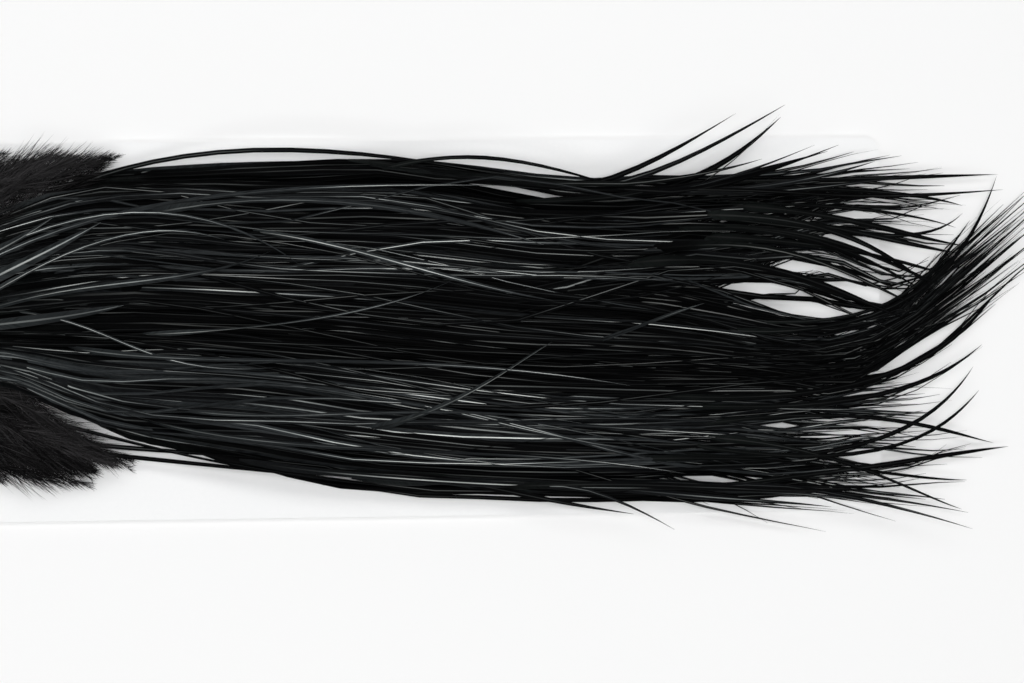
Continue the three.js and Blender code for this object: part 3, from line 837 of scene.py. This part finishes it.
def webby_feathers(name, rng, roots, tips, lift, barbs_each, barb_length, barb_width, lean, curl):
    """A mesh of webby feathers from root points to tip points, arched up by lift.

    barbs_each is the number of barbs down each side, lean the angle between a barb and the
    shaft, and curl how far barbs lift off it.
    """
    count = len(roots)
    t = np.linspace(0.04, 0.98, barbs_each)[None, :]
    chord = tips - roots
    bend = rng.normal(0, 0.06, (count, 1, 1)) * np.cross(np.array([0.0, 0.0, 1.0]), chord)[:, None, :]
    arch = (4 * t * (1 - t))[..., None]
    base = roots[:, None, :] + chord[:, None, :] * t[..., None] + arch * bend
    base[..., 2] += arch[..., 0] * lift
    along = chord / np.linalg.norm(chord, axis=1, keepdims=True)
    side = np.cross(np.array([0.0, 0.0, 1.0]), along)
    side /= np.linalg.norm(side, axis=1, keepdims=True)
    angle = rng.normal(lean, 0.24, (count, barbs_each, 2))
    fullest = np.sin(math.pi * np.clip(t * 0.86 + 0.1, 0, 1))
    reach = barb_length * (0.35 + 0.65 * fullest) * (1 - 0.55 * smooth((t - 0.6) / 0.4))
    u = np.linspace(0, 1, BARB_RINGS)
    both = []
    for k, sign in enumerate((1.0, -1.0)):
        a = angle[..., k][..., None]
        out = np.cos(a) * along[:, None, :] + sign * np.sin(a) * side[:, None, :]
        length = (reach * rng.uniform(0.75, 1.2, (count, barbs_each)))[..., None, None]
        path = base[:, :, None, :] + out[:, :, None, :] * length * u[None, None, :, None]
        forward = along[:, None, None, :] * length * 0.28 * (u**2)[None, None, :, None]
        rise = rng.normal(curl, 0.12 + abs(curl) * 0.6, (count, barbs_each, 1))
        path = path + forward
        path[..., 2] += rise * length[..., 0] * u[None, None, :] ** 1.5
        both.append(path.reshape(-1, BARB_RINGS, 3))
    centre = np.concatenate(both)
    number = len(centre)
    half = barb_width / 2 * BARB_TAPER[None, :] * rng.uniform(0.7, 1.2, (number, 1))
    ridge = half * 0.5
    roll = rng.normal(0, 0.5, (number, 1)) + np.zeros((1, BARB_RINGS))
    tones = np.repeat(rng.uniform(0, 1, count), barbs_each)
    tones = np.clip(np.concatenate([tones, tones]) ** 2 + rng.normal(0, 0.2, number), 0, 1)
    return strands_mesh(name, barb_template, centre, half, ridge, roll, tones, webby)


# ---- Side plumes ----
# Webby plumes root along both sides of the skin and stand out past the hackles onto the
# card.
PLUME_SHY = 3.5 * MM


def side_plume(node_name, body, seed, count, outward):
    """One plume tuft in the room of its CAD node, with its transform baked in."""
    rng = np.random.default_rng(seed)
    low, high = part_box(node_name)
    run = Run(node_name)
    size = high - low
    wisp_count = 4
    wisp = rng.integers(0, wisp_count, count)
    place = (wisp + rng.uniform(0.3, 0.7, count)) / wisp_count
    end = low.x + size.x * (0.3 + 0.85 * place)
    start = end - rng.uniform(30, 50, count) * MM
    inner = 1 if outward < 0 else 0
    far = high.y if outward > 0 else low.y
    inner_end = run.at(end, inner)
    edge_y = run.at(start, inner)
    root_y = gather(start, edge_y)
    root_y += (edge_y + outward * 2 * MM - root_y) * rng.uniform(-0.3, 1, count)
    wisp_reach = rng.uniform(0.7, 1.0, wisp_count)[wisp]
    reach = wisp_reach * (1 - 0.5 * rng.uniform(0, 1, count) ** 1.5)
    far -= outward * PLUME_SHY
    tip_y = inner_end + (far - inner_end) * reach * (1 - 0.35 * smooth((place - 0.6) / 0.4))
    z = low.z + size.z * rng.uniform(0.1, 0.95, count)
    roots = np.stack([start, root_y, np.full(count, skin_high.z) + rng.uniform(0, 1.5, count) * MM], axis=1)
    tips = np.stack([end, tip_y, z], axis=1)
    mesh = webby_feathers(node_name + "_down", rng, roots, tips, lift=2.0 * MM, barbs_each=66,
                          barb_length=9 * MM, barb_width=0.19 * MM, lean=0.22, curl=0.1)
    piece = link(node_name + "_down", mesh, None, "webby_feather", node_name)
    joint = joint_of(body)
    axis = Vector(joint["axis"])
    across = Vector((0, 0, 1)).cross(axis).normalized()
    across *= 1.0 if across.y * outward > 0 else -1.0
    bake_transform(piece)


for i in (1, 2, 3):
    side_plume(f"upper_side_plume_{i}", "upper_plumes", 500 + i, 36, 1.0)
for i in (1, 2, 3, 4):
    side_plume(f"lower_side_plume_{i}", "lower_plumes", 510 + i, 36, -1.0)


# ---- Coverts ----
# Three rows of shorter, rounder feathers that shingle over the skin and hide the hackles'
# roots. The front row lies on top.
def covert_tuft(node_name, seed, count):
    """Shingled covert feathers in the room of their CAD node."""
    rng = np.random.default_rng(seed)
    run = Run(node_name)
    length = run.x[-1] - run.x[0]
    start = run.x[0] + length * rng.uniform(-0.12, 0.45, count)
    end = start + length * rng.uniform(0.62, 0.9, count)
    share = (np.arange(count) + 0.5) / count - 0.5
    share = rng.permutation(share) * 1.15
    root_y = run.middle(start) + share * run.width(np.clip(start + 6 * MM, run.x[0], run.x[-1])) * 0.9
    tip_y = run.middle(end) + share * max(run.width(run.x[len(run.x) // 2]), 6 * MM) * 1.15
    level = rng.uniform(0.2, 1, count)
    root_z = run.bottom(start) + run.height(start) * level * 0.6
    tip_z = run.bottom(end) + run.height(end) * level
    roots = np.stack([start, root_y, root_z], axis=1)
    tips = np.stack([end, tip_y, tip_z], axis=1)
    mesh = webby_feathers(node_name + "_feathers", rng, roots, tips, lift=1.6 * MM, barbs_each=54,
                          barb_length=5.2 * MM, barb_width=0.42 * MM, lean=0.5, curl=-0.04)
    link(node_name + "_feathers", mesh, "carded_skin", "webby_feather", node_name)


for row_number, row in enumerate(("rear", "middle", "front")):
    for i in (1, 2, 3):
        covert_tuft(f"{row}_covert_tuft_{i}", 600 + 10 * row_number + i, 22)
